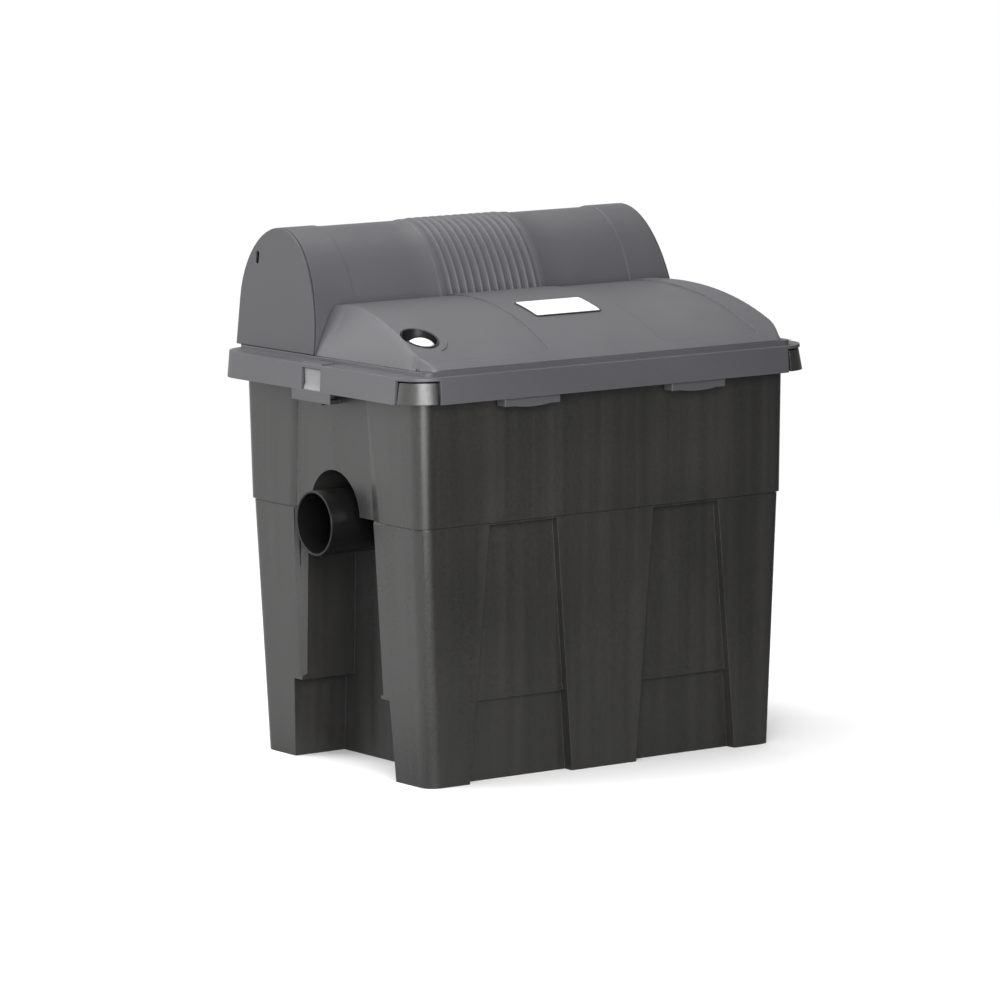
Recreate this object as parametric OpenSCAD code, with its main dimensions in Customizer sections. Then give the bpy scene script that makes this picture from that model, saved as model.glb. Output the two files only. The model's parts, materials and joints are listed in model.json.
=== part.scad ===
// Box-type flow-through pond filter: tapered tank, lift-off lid with a hinged rear dome and a low
// front hood, 50 mm outlet stub, stepped inlet tail, drain cap, foam cartridges with pull handles.
// Frame: +X along the long side, +Y to the back, +Z up. The origin is the middle of the foot, on
// the ground.

/* [Tank] */
// Length of the tank at its foot
foot_l = 326; // [322:1:330]
// Depth of the tank at its foot
foot_w = 228; // [226:1:230]
// Length of the tank just under the step line
step_l = 342; // [340:1:343]
// Depth of the tank just under the step line
step_w = 236.6; // [235:0.2:237]
// Height of the step line above the ground
step_z = 199; // [196:1:202]
// Length of the tank under its rim
neck_l = 347.4; // [346:0.2:348]
// Depth of the tank under its rim
neck_w = 241.4; // [240:0.2:242]
// Wall thickness of the tank
wall = 3.2; // [2.8:0.1:3.6]
// Depth of the front and back panels behind the pillars
panel_d = 6.5; // [5:0.5:8]
// Extra depth of the panels below their lower step
toe_d = 3; // [2:0.5:4]
// Distance from the middle plane to the back wall of a side recess
recess_x = 117; // [116:0.5:118]

/* [Lid] */
// Length of the skirt at its lower edge
lid_l = 380; // [379:1:381]
// Depth of the skirt at its lower edge
lid_w = 274; // [273.6:0.2:274.4]
// Height of the skirt's lower edge
skirt_z = 294; // [293.6:0.2:294.4]
// Height of the ledge on top of the skirt
ledge_z = 314.4; // [314:0.2:315]
// Height of the deck inside the riser
deck_z = 318; // [317.8:0.1:318.2]
// Wall thickness of the lid's mouldings
lid_t = 2.4; // [2:0.1:2.6]

/* [Hood and dome] */
// Radius of the hood's curved top
hood_r = 234; // [232:1:236]
// Height of the hood's crest
hood_top = 357.5; // [357:0.5:358]
// Height of the dome's ridge
dome_top = 411; // [409:1:413]
// Width of one rib and one groove on the dome
rib_pitch = 7.25; // [7:0.05:7.5]
// Number of ribs on the dome
rib_count = 12; // [8:1:14]

/* [Pipes] */
// Outside radius of the outlet pipe, size DN 50
outlet_r = 25; // [24.8:0.1:25.2]
// Height of the outlet and inlet axes
pipe_z = 192.5; // [191:0.5:194]
// Outside radius of the hose tail's widest step
tail_r = 19; // [18.5:0.1:19.5]
// Outside radius of the drain spigot
drain_r = 14; // [13:0.5:14]
// Height of the drain's axis
drain_z = 32; // [30:0.5:34]

/* [Foam cartridges] */
// Distance between two cartridges along X
cart_pitch = 71; // [70:0.5:72]
// Length and depth of one cartridge's foam block
foam_l = 66; // [60:1:67]
// Height of the press plate's underside
press_z = 36.4; // [36.4:0.1:37]

/* [Hidden] */
$fn = 64;

charcoal = "#45434a";
tank_black = "#2e2d2f";
deep_black = "#1d1d1f";
thin = 0.01;
gap = 0.3;                 // air between pieces of different bodies

tank_r = 12;               // corner radius of the tank in plan
floor_t = 4;
rim_z = 296;               // underside of the tank's rim flange
rim_t = 3;
lip_l = 371.6;             // outside of the upstanding lip of the rim
lip_w = 265.6;
lip_top = 310;
lip_t = 2.6;
post_z0 = 294.6;           // the corner posts of the rim, which show in the lid's notches
post_z1 = 310.6;
cove_z = 62;               // top of the wide lower part of a side recess
arch_r = 34;
arch_z = 198;
slot_d = 3;                // depth of the panel in the upper band of a side
groove_d = 0.8;
groove_h = 1.5;

skirt_lean = 1.3;          // the skirt's lean over its height
skirt_r = 28;
ledge_under = ledge_z - lid_t;
riser_l = 348;
riser_w = 258;
notch_x = 27;              // the notch at a front corner, along the front and along the side
notch_y = 24;
window_y = 13;             // half width of a latch window
hood_base_l = 345;
hood_crest_l = 303;
hood_front = 128.6;
hood_back = 25.4;
hood_axis_z = hood_top - hood_r;
well_x = -149;
well_y = -88;
well_r = 14.6;

ridge_y = 81;              // the dome's profile: a front and a back quarter ellipse
dome_front_a = 60;
dome_back_a = 48;
dome_back_z = 355;
dome_end_top = 163.5;
dome_end_foot = 174;
dome_mid = 131;            // half length of the dome's recessed middle
dome_z = deck_z + gap;
hinge_y = 133.4;
hinge_z = 320.2;
hinge_x = 105;             // middle of each hinge
knuckle_r = 3.4;
hinge_pin_r = 1.6;

tray_z = 238.5;
tray_t = 3;
grate_z = 32;
grate_t = 4;
rod_r = 5;
cart_y = 65.5;             // the cartridges' middle line
carts = [-cart_pitch, 0, cart_pitch];
handle_z = 330;
latch_z = 288.6;           // the latch tongue's flexing line
latch_x = 186;            // middle of the tongue's thickness
screw_spots = [[-120, -96], [0, -104], [120, -96], [-132, 6], [0, 6], [132, 6]];
tab_y = 134;               // front face of the grip tabs, just behind the lid's skirt

// Rounded rectangle, centred
module plan(l, w, r) {
    square([l - 2 * r, w], center = true);
    square([l, w - 2 * r], center = true);
    for (sx = [-1, 1], sy = [-1, 1])
        translate([sx * (l / 2 - r), sy * (w / 2 - r)]) circle(r);
}

// Straight-sided block on a rounded rectangle
module slab(l, w, r, z0, z1) {
    translate([0, 0, z0]) linear_extrude(z1 - z0) plan(l, w, r);
}

// Block whose rounded rectangle changes size from z0 to z1
module taper(l0, w0, l1, w1, r, z0, z1) {
    hull() {
        slab(l0, w0, r, z0, z0 + thin, $fn = 32);
        slab(l1, w1, r, z1 - thin, z1, $fn = 32);
    }
}

// Axis-aligned block between two corners
module block(a, b) {
    translate(a) cube(b - a);
}

// Prism on an outline in Y and Z, from x0 to x1
module prism_x(points, x0, x1) {
    translate([x0, 0, 0]) rotate([90, 0, 90]) linear_extrude(x1 - x0) polygon(points);
}

// Prism on an outline in X and Z, from y0 to y1
module prism_y(points, y0, y1) {
    translate([0, y1, 0]) rotate([90, 0, 0]) linear_extrude(y1 - y0) polygon(points);
}

// Cylinder along X from x0 to x1, at height z
module rod_x(r, x0, x1, z, y = 0) {
    translate([x0, y, z]) rotate([0, 90, 0]) cylinder(r = r, h = x1 - x0);
}

module tube_x(r, bore, x0, x1, z, y = 0) {
    difference() {
        rod_x(r, x0, x1, z, y);
        rod_x(bore, x0 - 1, x1 + 1, z, y);
    }
}

// ---- Tank ----

// Wedge of space in front of a plane that lies d behind the tank's lower front face
module front_space(d, z1) {
    prism_x([[-foot_w, -1], [-foot_w / 2 + d, -1],
        [-foot_w / 2 - (step_w - foot_w) / 2 * z1 / step_z + d, z1], [-foot_w, z1]], -foot_l, foot_l);
}

// Outlines of the two recessed panels between the pillars, in X and Z
function panel_outline(z1, s) = [[s * 30.3, -1], [s * 125.6, -1],
    [s * (125.6 - 18.1 * z1 / step_z), z1], [s * (30.3 + 15.2 * z1 / step_z), z1]];

module front_panels() {
    for (s = [-1, 1]) {
        intersection() {
            prism_y(panel_outline(step_z - 2, s), -foot_w, 0);
            front_space(panel_d, step_z - 2);
        }
        intersection() {
            prism_y(panel_outline(cove_z, s), -foot_w, 0);
            front_space(panel_d + toe_d, cove_z);
        }
    }
}

// Hollow behind the pillars, so that the wall stays even
module pillar_hollows() {
    z1 = step_z - 2 - wall;
    intersection() {
        union() {
            prism_y([[-30.3 + wall, floor_t], [30.3 - wall, floor_t], [45.5 - wall, z1], [-45.5 + wall, z1]],
                -foot_w, 0);
            for (s = [-1, 1])
                prism_y([[s * (125.6 + wall), floor_t], [s * (foot_l / 2 - wall - 1), floor_t],
                    [s * (step_l / 2 - wall - 1), z1], [s * (107.5 + wall), z1]], -foot_w, 0);
        }
        prism_x([[-foot_w / 2 + wall, floor_t], [-step_w / 2 + wall, z1], [-90, z1], [-90, floor_t]],
            -foot_l, foot_l);
    }
}

// Space of the left side recess, grown by g into the tank
module side_recess(g) {
    x1 = -recess_x + g;
    prism_x([[-70 - g, -1], [70 + g, -1], [66 + g, cove_z + g], [-66 - g, cove_z + g]], -200, x1);
    prism_x([[-55 - g, cove_z - 1], [55 + g, cove_z - 1], [49 + g, step_z + g], [-49 - g, step_z + g]],
        -200, x1);
    rod_x(arch_r + g, -200, x1, arch_z);
}

// Bevelled mouth of the recess above its wide lower part
module recess_mouth() {
    hull() {
        prism_x([[-61, cove_z], [61, cove_z], [55, step_z], [-55, step_z]], -176, -170);
        prism_x([[-55, cove_z + 5], [55, cove_z + 5], [49, step_z], [-49, step_z]], -162, -161);
    }
}

// Shallow panel in the upper band of a side, slot_d deep behind the band's leaning face
module upper_panel_slot() {
    lean = atan((neck_l - step_l - 2.4) / 2 / (rim_z - step_z));
    face_x = step_l / 2 + 1.2 - step_z * tan(lean);
    intersection() {
        prism_x([[-53.5, step_z], [53.5, step_z], [46.4, rim_z], [-46.4, rim_z]], -200, -160);
        rotate([0, -lean, 0]) block([-250, -100, 0], [slot_d - face_x, 100, 400]);
    }
}

// Sloping flank beside that panel on side s, w1 wide at the rim and w0 wide at the step line
module panel_flank(s, w1, w0) {
    x0 = step_l / 2 + 1.2;
    x1 = neck_l / 2;
    corners = [for (e = [[step_z, x0, 53, w0], [rim_z, x1, 45.9, w1]])
        for (c = [[-e[1] + slot_d, e[2]], [-e[1], e[2] + e[3]], [-180, e[2] + e[3]], [-180, e[2]]])
            [c[0], c[1], e[0]]];
    scale([1, s, 1]) polyhedron(corners, [[0, 1, 2, 3], [7, 6, 5, 4], [1, 0, 4], [1, 4, 5],
        [2, 1, 5, 6], [3, 2, 6, 7], [0, 3, 7, 4]]);
}

// Narrow groove under the step line
module step_groove() {
    in = 2 * groove_d;
    difference() {
        slab(step_l + 20, step_w + 20, tank_r, step_z - groove_h, step_z);
        taper(foot_l - in, foot_w - in, step_l - in, step_w - in, tank_r, 0, step_z + 1);
    }
}

module tank_outside() {
    difference() {
        union() {
            taper(foot_l, foot_w, step_l, step_w, tank_r, 0, step_z + thin);
            taper(step_l + 2.4, step_w + 2.4, neck_l, neck_w, tank_r, step_z, rim_z);
        }
        step_groove();
        front_panels();
        mirror([0, 1, 0]) front_panels();
        for (m = [0, 1]) mirror([m, 0, 0]) {
            side_recess(0);
            recess_mouth();
            upper_panel_slot();
            panel_flank(-1, 7, 14);
            panel_flank(1, 7, 7);
        }
    }
}

module tank_cavity() {
    inset = 2 * (panel_d + toe_d + wall);
    difference() {
        union() {
            taper(foot_l - 2 * wall, foot_w - inset, step_l - 2 * wall, step_w - inset,
                tank_r - wall, floor_t, step_z);
            slab(step_l - 2 * wall - 4, step_w - inset, tank_r - wall, step_z - 1, step_z + 5);
            slab(step_l - 2 * wall - 2, step_w - 2 * wall, tank_r - wall, step_z + 4, 320);
            pillar_hollows();
            mirror([0, 1, 0]) pillar_hollows();
        }
        for (m = [0, 1]) mirror([m, 0, 0]) side_recess(wall);
    }
}

// Rim: flange, upstanding lip and the two rounded posts at the front corners
module tank_rim() {
    inner_l = step_l - 2 * wall - 2;
    inner_w = step_w - 2 * wall;
    difference() {
        slab(lip_l, lip_w, 24, rim_z, rim_z + rim_t);
        slab(inner_l, inner_w, tank_r - wall, rim_z - 1, rim_z + rim_t + 1);
        for (m = [0, 1]) mirror([m, 0, 0])
            block([-200, -window_y - 1, rim_z - 1], [-179.4, window_y + 1, rim_z + rim_t + 1]);
    }
    difference() {
        union() {
            slab(lip_l, lip_w, 24, rim_z, lip_top);
            intersection() {
                taper(379, 273, 375, 269, 26, post_z0, post_z1);
                for (s = [-1, 1])
                    block([s * 178 - 12.4, -140, post_z0], [s * 178 + 12.4, -115.6, post_z1]);
            }
        }
        slab(lip_l - 2 * lip_t, lip_w - 2 * lip_t, 22, rim_z - 5, 330);
        for (m = [0, 1]) mirror([m, 0, 0])
            block([-200, -window_y - 1, rim_z - 1], [-170, window_y + 1, 330]);
    }
}

module tank() {
    color(tank_black) {
        difference() {
            tank_outside();
            tank_cavity();
            rod_x(outlet_r + 0.3, -recess_x - 20, -recess_x + 20, pipe_z);
            rod_x(tail_r + 1.3, recess_x - 20, recess_x + 20, pipe_z);
            rod_x(drain_r + 0.3, recess_x - 20, recess_x + 20, drain_z);
        }
        tank_rim();
        for (m = [0, 1]) mirror([m, 0, 0])
            block([-latch_x - 1.2, -11, 284], [-169, 11, 287]);
    }
}

// ---- Outlet, in the left recess ----

module outlet_pipe() {
    x_in = -recess_x + wall;
    color(deep_black) difference() {
        union() {
            rod_x(outlet_r, -188.5, x_in + 18, pipe_z);
            rod_x(outlet_r + 5, -recess_x - 3, -recess_x - 0.05, pipe_z);
        }
        rod_x(outlet_r - 1.8, -190, x_in + 20, pipe_z);
    }
}

module outlet_gasket() {
    x_in = -recess_x + wall;
    color(deep_black) tube_x(outlet_r + 6, outlet_r + 0.05, x_in + 0.05, x_in + 2.6, pipe_z);
}

module outlet_lock_ring() {
    x_in = -recess_x + wall;
    color(charcoal) {
        tube_x(outlet_r + 7, outlet_r + 0.05, x_in + 2.7, x_in + 11, pipe_z);
        for (a = [30:60:330]) translate([0, 0, pipe_z]) rotate([a, 0, 0])
            block([x_in + 2.7, outlet_r + 4, -3], [x_in + 11, outlet_r + 10, 3]);
    }
}

// Duct that lifts the cleaned water from under the grate up to the outlet
module outlet_riser() {
    x0 = -recess_x + wall + 14;
    color(charcoal) difference() {
        block([x0, -30, 8], [x0 + 22, 30, 228]);
        block([x0 + 2.4, -27.6, 0], [x0 + 19.6, 27.6, 225.6]);
        rod_x(outlet_r + 0.4, x0 - 5, x0 + 10, pipe_z);
    }
}

// ---- Inlet, in the right recess ----

module inlet_bulkhead() {
    x_in = recess_x - wall;
    color(deep_black) difference() {
        union() {
            rod_x(tail_r + 1, x_in - 16, recess_x + 20, pipe_z);
            rod_x(tail_r + 6, recess_x + 0.05, recess_x + 4, pipe_z);
        }
        rod_x(15.5, x_in - 20, recess_x + 30, pipe_z);
    }
}

module inlet_gasket() {
    x_in = recess_x - wall;
    color(deep_black) tube_x(tail_r + 6, tail_r + 1.05, x_in - 2.6, x_in - 0.05, pipe_z);
}

module inlet_lock_ring() {
    x_in = recess_x - wall;
    color(charcoal) {
        tube_x(tail_r + 7, tail_r + 1.05, x_in - 11, x_in - 2.7, pipe_z);
        for (a = [30:60:330]) translate([0, 0, pipe_z]) rotate([a, 0, 0])
            block([x_in - 11, tail_r + 4, -3], [x_in - 2.7, tail_r + 10, 3]);
    }
}

// Stepped tail for three hose sizes, with a collar that the union nut holds
module inlet_hose_tail() {
    x0 = recess_x + 22.4;
    color(deep_black) difference() {
        union() {
            rod_x(tail_r + 2.6, x0, x0 + 3, pipe_z);
            rod_x(tail_r - 0.2, x0 + 2, x0 + 10, pipe_z);
            rod_x(tail_r, x0 + 9.6, x0 + 23, pipe_z);
            rod_x(16, x0 + 22, x0 + 35, pipe_z);
            rod_x(12.7, x0 + 34, x0 + 48, pipe_z);
        }
        rod_x(10.4, x0 - 1, x0 + 60, pipe_z);
    }
}

module inlet_o_ring() {
    color(deep_black) translate([recess_x + 21.2, 0, pipe_z]) rotate([0, 90, 0])
        rotate_extrude() translate([17.6, 0]) circle(1.1);
}

module inlet_union_nut() {
    x0 = recess_x + 7;
    color(charcoal) difference() {
        union() {
            rod_x(tail_r + 6.5, x0, x0 + 24, pipe_z);
            for (a = [0:30:330]) translate([0, 0, pipe_z]) rotate([a, 0, 0])
                block([x0 + 2, tail_r + 5, -1.6], [x0 + 21, tail_r + 8.4, 1.6]);
        }
        rod_x(tail_r + 0.05, x0 - 1, x0 + 30, pipe_z);
        rod_x(tail_r + 3, x0 - 1, x0 + 18.8, pipe_z);
    }
}

// Duct that lifts the dirty water from the inlet onto the tray
module inlet_riser() {
    x1 = recess_x - wall - 14;
    color(charcoal) difference() {
        block([x1 - 22, -30, 160], [x1, 30, tray_z - 0.1]);
        block([x1 - 19.6, -27.6, 162.4], [x1 - 2.4, 27.6, 250]);
        rod_x(tail_r + 1.4, x1 - 10, x1 + 5, pipe_z);
    }
}

// ---- Drain, low in the right recess ----

module drain_spigot() {
    x_in = recess_x - wall;
    color(deep_black) difference() {
        union() {
            rod_x(drain_r, x_in - 14, recess_x + 30, drain_z);
            rod_x(drain_r + 5, recess_x + 0.05, recess_x + 4, drain_z);
        }
        rod_x(drain_r - 3, x_in - 20, recess_x + 40, drain_z);
    }
}

module drain_gasket() {
    x_in = recess_x - wall;
    color(deep_black) tube_x(drain_r + 5, drain_r + 0.05, x_in - 2.6, x_in - 0.05, drain_z);
}

module drain_lock_ring() {
    x_in = recess_x - wall;
    color(charcoal) {
        tube_x(drain_r + 5, drain_r + 0.05, x_in - 10, x_in - 2.7, drain_z);
        for (a = [0:60:300]) translate([0, 0, drain_z]) rotate([a, 0, 0])
            block([x_in - 10, drain_r + 3, -2], [x_in - 2.7, drain_r + 7, 2]);
    }
}

module drain_cap() {
    x0 = recess_x + 12;
    color(charcoal) difference() {
        union() {
            rod_x(drain_r + 4, x0, x0 + 24, drain_z);
            for (a = [0:20:340]) translate([0, 0, drain_z]) rotate([a, 0, 0])
                block([x0 + 2, drain_r + 3, -1.1], [x0 + 21, drain_r + 5.2, 1.1]);
            block([x0 + 23, -3, drain_z - 13], [x0 + 32, 3, drain_z + 13]);
        }
        rod_x(drain_r + 0.05, x0 - 1, x0 + 20.5, drain_z);
    }
}

module drain_cap_seal() {
    color(deep_black) rod_x(drain_r - 0.4, recess_x + 30.6, recess_x + 32.4, drain_z);
}

// ---- Inside the tank ----

module support_grate() {
    x0 = -66;
    x1 = 106;
    color(charcoal) difference() {
        union() {
            block([x0, -96, grate_z], [x1, 96, grate_z + grate_t]);
            block([-108, 38, grate_z], [x0 + 1, 96, grate_z + grate_t]);
            block([-108, -96, grate_z], [x0 + 1, -38, grate_z + grate_t]);
            for (x = [-98, 0, 94], y = [-86, 86])
                translate([x, y, floor_t + 0.05]) cylinder(r = 5, h = grate_z - floor_t);
        }
        block([96, -26, grate_z - 1], [x1 + 1, 26, grate_z + grate_t + 1]);
        for (x = [-58:16:86], y = [-66, 0, 66])
            block([x, y - 24, grate_z - 1], [x + 9, y + 24, grate_z + grate_t + 1]);
    }
}

module partition_wall() {
    color(charcoal) difference() {
        block([-64, 27, grate_z + grate_t + 0.1], [66, 29.6, tray_z - 0.1]);
        for (x = [-52:26:52]) translate([x, 20, 60]) rotate([-90, 0, 0]) cylinder(r = 4, h = 20);
    }
}

// Perforated tray that spreads the water and holds the foam blocks down
module distributor_tray() {
    color(charcoal) difference() {
        union() {
            slab(330, 226, 8, tray_z, tray_z + tray_t);
            difference() {
                slab(330, 226, 8, tray_z, tray_z + 14);
                slab(325, 221, 6, tray_z - 1, tray_z + 20);
            }
        }
        for (x = carts) translate([x, cart_y, tray_z - 1]) cylinder(r = rod_r + 1, h = tray_t + 2);
        block([80.8, -26, tray_z - 1], [96, 26, tray_z + tray_t + 1]);
        for (x = [-140:20:140], y = [-88:22:22])
            if (abs(x) < 70 || abs(y) > 35)
                translate([x, y, tray_z - 1]) cylinder(r = 3.2, h = tray_t + 2);
    }
}

// Plain foam block with its edges eased
module foam(x0, x1, y0, y1, z0, z1) {
    translate([(x0 + x1) / 2, (y0 + y1) / 2, 0]) slab(x1 - x0, y1 - y0, 3, z0, z1);
}

module foam_coarse() {
    color("#2f5f9e") foam(-104, 104, -95, -38, grate_z + grate_t + 0.1, 226);
}

module foam_fine() {
    color("#a33a34") foam(-62, 64, -36.5, 25.5, grate_z + grate_t + 0.1, 226);
}

module foam_block(x) {
    color("#2f5f9e") difference() {
        foam(x - foam_l / 2, x + foam_l / 2, cart_y - foam_l / 2, cart_y + foam_l / 2 - 3,
            press_z + 3.4, tray_z - 0.4);
        translate([x, cart_y, 0]) cylinder(r = rod_r + 0.4, h = 400);
    }
}

module press_plate(x) {
    color(charcoal) difference() {
        translate([x, cart_y - 1.5, 0]) slab(foam_l, foam_l - 3, 3, press_z, press_z + 3);
        for (dx = [-20, 20], dy = [-20, 0, 20]) translate([x + dx, cart_y + dy, press_z - 1])
            cylinder(r = 6, h = 5);
    }
}

module pull_rod(x) {
    color(deep_black) translate([x, cart_y, press_z + 3.05])
        cylinder(r = rod_r, h = handle_z - press_z - 3.1);
}

// D-shaped grip on top of a rod
module pull_handle(x) {
    color("#3a6ea8") {
        block([x - 24, cart_y - 7, handle_z], [x + 24, cart_y + 7, handle_z + 5]);
        for (s = [-1, 1])
            block([x + s * 20.5 - 3.5, cart_y - 5, handle_z + 4],
                [x + s * 20.5 + 3.5, cart_y + 5, handle_z + 24]);
        rod_x(5, x - 20, x + 20, handle_z + 22, cart_y);
    }
}

module rim_seal() {
    color(deep_black) difference() {
        slab(356, 246, 16, rim_z + rim_t + 0.05, rim_z + rim_t + 4);
        slab(348, 238, 12, rim_z, rim_z + rim_t + 5);
    }
}

// Sprung tongue with a wedge, in the window of the skirt; drawn for the left side
module latch(m) {
    color(charcoal) mirror([m, 0, 0]) {
        block([-latch_x - 1, -12.2, latch_z - 1.2], [-latch_x + 1, 12.2, lip_top + 0.8]);
        prism_y([[-latch_x, 302], [-188.4, 295.6], [-188.4, 293.6], [-latch_x, 293.6]], -12.2, 12.2);
    }
}

// ---- Lid ----

module skirt_windows() {
    for (m = [0, 1]) mirror([m, 0, 0]) {
        block([-200, -window_y, skirt_z - 1], [-180, window_y, ledge_under - 0.6]);
        block([-lid_l, -lid_w, skirt_z - 1], [notch_x - lid_l / 2, notch_y - lid_w / 2, ledge_under]);
    }
}

// Strip under a latch window
module skirt_lug() {
    difference() {
        block([-lid_l / 2, -26, 286], [-186, 26, skirt_z + 0.6]);
        block([-188.8, -30, 280], [-180, 30, 300]);
    }
}

module lid_deck() {
    lean = 2 * skirt_lean;
    t = 2 * lid_t;
    color(charcoal) {
        difference() {
            union() {
                taper(lid_l, lid_w, lid_l - lean, lid_w - lean, skirt_r, skirt_z, ledge_z);
                slab(riser_l, riser_w, 10, ledge_z - 1, deck_z);
                for (s = [-1, 1])
                    block([s * 182.4 - 6, -window_y, ledge_z - 1], [s * 182.4 + 6, window_y, ledge_z + 1.4]);
            }
            taper(lid_l - t, lid_w - t, lid_l - lean - t, lid_w - lean - t, skirt_r - lid_t,
                skirt_z - 1, ledge_under);
            slab(riser_l - t, riser_w - t, 8, ledge_under - 1, deck_z - lid_t);
            block([-150, 36, 300], [150, 119, 330]);
            translate([well_x, well_y, 300]) cylinder(r = well_r + 1, h = 30);
            skirt_windows();
            for (p = screw_spots) translate([p[0], p[1], 300]) cylinder(r = 2, h = 30);
        }
        difference() {
            slab(354, 244, 15, rim_z + rim_t + 4 + gap, ledge_under + 0.5);
            slab(350.6, 240.6, 13, rim_z, ledge_under + 1);
        }
        for (m = [0, 1]) mirror([m, 0, 0]) skirt_lug();
        for (x = [-hinge_x, hinge_x], s = [-1, 1])
            difference() {
                union() {
                    rod_x(knuckle_r, x + s * 12 - 5, x + s * 12 + 5, hinge_z, hinge_y);
                    block([x + s * 12 - 5, hinge_y - knuckle_r, ledge_z - 1],
                        [x + s * 12 + 5, hinge_y + 1.4, hinge_z]);
                }
                rod_x(hinge_pin_r + 0.05, x - 30, x + 30, hinge_z, hinge_y);
            }
    }
}

// Two hooded grips clipped under the tank's rim, below the front skirt
module grip_tabs() {
    top = rim_z - 0.05;
    color(charcoal) for (s = [-1, 1]) difference() {
        union() {
            block([s * 78 - 25.5, -tab_y, 287.6], [s * 78 + 25.5, -123, top]);
            intersection() {
                translate([s * 78, 0, 386.2]) rotate([90, 0, 0]) cylinder(r = 100, h = tab_y, $fn = 180);
                block([s * 78 - 25.5, -tab_y, 286], [s * 78 + 25.5, 2.8 - tab_y, 290]);
            }
        }
        block([s * 78 - 23.1, 2.4 - tab_y, 280], [s * 78 + 23.1, -120, top - 2.4]);
    }
}

// Outline of the dome, in Y and Z, inset by t
function dome_outline(t) = concat(
    [for (a = [0:6:84]) [ridge_y - (dome_front_a - t) * cos(a), deck_z + (dome_top - deck_z - t) * sin(a)]],
    [for (a = [0:7.5:90]) [ridge_y + (dome_back_a - t) * sin(a), dome_back_z + (dome_top - dome_back_z - t) * cos(a)]],
    [[ridge_y + dome_back_a - t, deck_z]]);

module hood_space(t) {
    intersection() {
        rod_x(hood_r - t, -200, 200, hood_axis_z, $fn = 360);
        hull() {
            hood_plan(hood_base_l / 2 - t, 24 - t, t, deck_z, $fn = 32);
            hood_plan(hood_crest_l / 2 - t, 34 - t, t, hood_top + 2, $fn = 32);
        }
    }
}

// Thin slice of the hood's plan: round front corners, square back
module hood_plan(hl, r, t, z) {
    y0 = -hood_front + t;
    for (s = [-1, 1]) translate([s * (hl - r), y0 + r, z]) cylinder(r = r, h = thin);
    block([-hl, 0, z], [hl, hood_back + 8, z + thin]);
}

module front_hood() {
    color(charcoal) {
        difference() {
            hood_space(0);
            difference() {
                hood_space(lid_t);
                for (p = screw_spots) translate([p[0], p[1], 300]) cylinder(r = 4, h = 60);
            }
            block([-200, -200, 300], [200, 200, deck_z + 0.05]);
            prism_x(dome_outline(-1), -200, 200);
            translate([well_x, well_y, 300]) cylinder(r = well_r + 0.1, h = 80);
            for (p = screw_spots) translate([p[0], p[1], 300]) cylinder(r = 1.5, h = 26);
            translate([5, 27, hood_top + 58.8]) rotate([90, 0, 0]) cylinder(r = 60, h = 14, $fn = 180);
        }
    }
}

module hood_screws() {
    color("#8f9194") for (p = screw_spots) translate([p[0], p[1], 0]) {
        translate([0, 0, deck_z - lid_t - 2.3]) cylinder(r = 3.6, h = 2.2);
        translate([0, 0, deck_z - lid_t - 1]) cylinder(r = 1.45, h = 10);
    }
}

// Blank plate on the hood's crest, bent to the curve
module label_plate() {
    color("#e9e8e4") intersection() {
        difference() {
            rod_x(hood_r + 0.8, -31, 31, hood_axis_z, $fn = 360);
            rod_x(hood_r + 0.05, -32, 32, hood_axis_z, $fn = 360);
        }
        translate([0, -58, 300]) linear_extrude(100) plan(62, 31.5, 3);
    }
}

// Cup of the well and the guide of the float's stem
module indicator_tube() {
    cup_z = 326;
    color(deep_black) difference() {
        union() {
            intersection() {
                translate([well_x, well_y, cup_z]) cylinder(r = well_r, h = 40);
                hood_space(0.4);
            }
            translate([well_x, well_y, 297]) cylinder(r = 7, h = cup_z - 296);
        }
        translate([well_x, well_y, cup_z + 2]) cylinder(r = well_r - 1.4, h = 40);
        translate([well_x, well_y, 290]) cylinder(r = 3.5, h = 50);
    }
}

module indicator_float() {
    translate([well_x, well_y, 0]) {
        color("#f4f4f2") {
            translate([0, 0, 328.4]) cylinder(r = 11, h = 5.6);
            translate([0, 0, 334]) intersection() {
                translate([0, 0, -9.6]) sphere(r = 15);
                cylinder(r = 11, h = 20);
            }
            translate([0, 0, 284]) cylinder(r = 3, h = 46);
        }
        color("#f4f4f2") difference() {
            translate([0, 0, 262]) cylinder(r = 15, h = 23);
            translate([0, 0, 264]) cylinder(r = 13, h = 19);
        }
    }
}

// ---- Dome ----

function dome_half(z) = dome_end_foot - (dome_end_foot - dome_end_top) * (z - deck_z) / (dome_top - deck_z);

// Space between the two leaning ends of the dome, drawn in by t
module between_ends(t) {
    z1 = dome_top + 4;
    prism_y([[-dome_half(dome_z) + t, dome_z], [dome_half(dome_z) - t, dome_z],
        [dome_half(z1) - t, z1], [-dome_half(z1) + t, z1]], 0, 200);
}

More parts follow.
